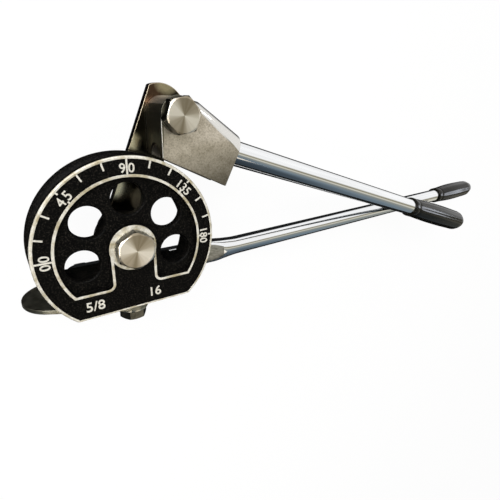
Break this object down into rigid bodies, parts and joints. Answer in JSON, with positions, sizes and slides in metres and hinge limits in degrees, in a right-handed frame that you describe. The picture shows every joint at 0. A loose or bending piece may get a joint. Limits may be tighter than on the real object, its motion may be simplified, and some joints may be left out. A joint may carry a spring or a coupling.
{
  "type": "tube bender",
  "caption": "Hand lever tube bender with a grooved D-shaped form wheel and angle dial, a forming shoe on a long handle, a rear link strap, a fixed handle and a swinging tube catch.",
  "frame": {"origin": "on the form wheel's axis, on the end face of the centre bolt, in the plane of the bench on which the tool lies on its back", "axes": "+X to the dial's 180 mark and along the handles, +Y to the 90 mark, +Z out of the dial's face"},
  "size_m": [0.5852, 0.161, 0.0782],
  "materials": {
    "cast_paint": "textured black paint on cast aluminium, with bare machined edges",
    "turned_steel": "turned and zinc plated",
    "chrome_bar": "polished chrome plate",
    "plated_strap": "plated flat bar",
    "ground_steel": "satin ground casting",
    "catch_steel": "dull plated plate with a bright edge",
    "grip_plastic": "moulded, slightly streaked",
    "nylon": "moulded nylon ring"
  },
  "bodies": {
    "form": {"form_wheel": "cast_paint", "centre_bolt": "turned_steel", "centre_washer": "turned_steel", "centre_rear_washer": "turned_steel", "centre_lock_nut": "turned_steel", "centre_nut_ring": "nylon", "fixed_handle": "chrome_bar", "handle_bolts": "turned_steel", "handle_bolt_washers": "turned_steel", "fixed_grip": "grip_plastic", "catch_bolt": "turned_steel", "catch_washer": "turned_steel", "catch_spacer": "turned_steel"},
    "link": {"link_strap": "plated_strap", "pivot_bolt": "turned_steel", "pivot_washer": "turned_steel", "pivot_rear_washer": "turned_steel", "pivot_lock_nut": "turned_steel", "pivot_nut_ring": "nylon"},
    "shoe": {"forming_shoe": "ground_steel", "moving_handle": "chrome_bar", "moving_grip": "grip_plastic", "handle_lock_pin": "turned_steel"},
    "catch": {"catch_plate": "catch_steel"}
  },
  "joints": [
    {"name": "link_turn", "type": "hinge", "parent": "form", "child": "link", "pos_m": [0, 0, 0.025], "axis": [0, 0, -1], "range_deg": [-115, 65]},
    {"name": "shoe_swing", "type": "hinge", "parent": "link", "child": "shoe", "pos_m": [0.0323, 0.07873, 0.041], "axis": [0, 0, 1], "range_deg": [0, 120]},
    {"name": "catch_swing", "type": "hinge", "parent": "form", "child": "catch", "pos_m": [0, -0.0446, 0.041], "axis": [0, 1, 0], "range_deg": [-12, 140]}
  ]
}
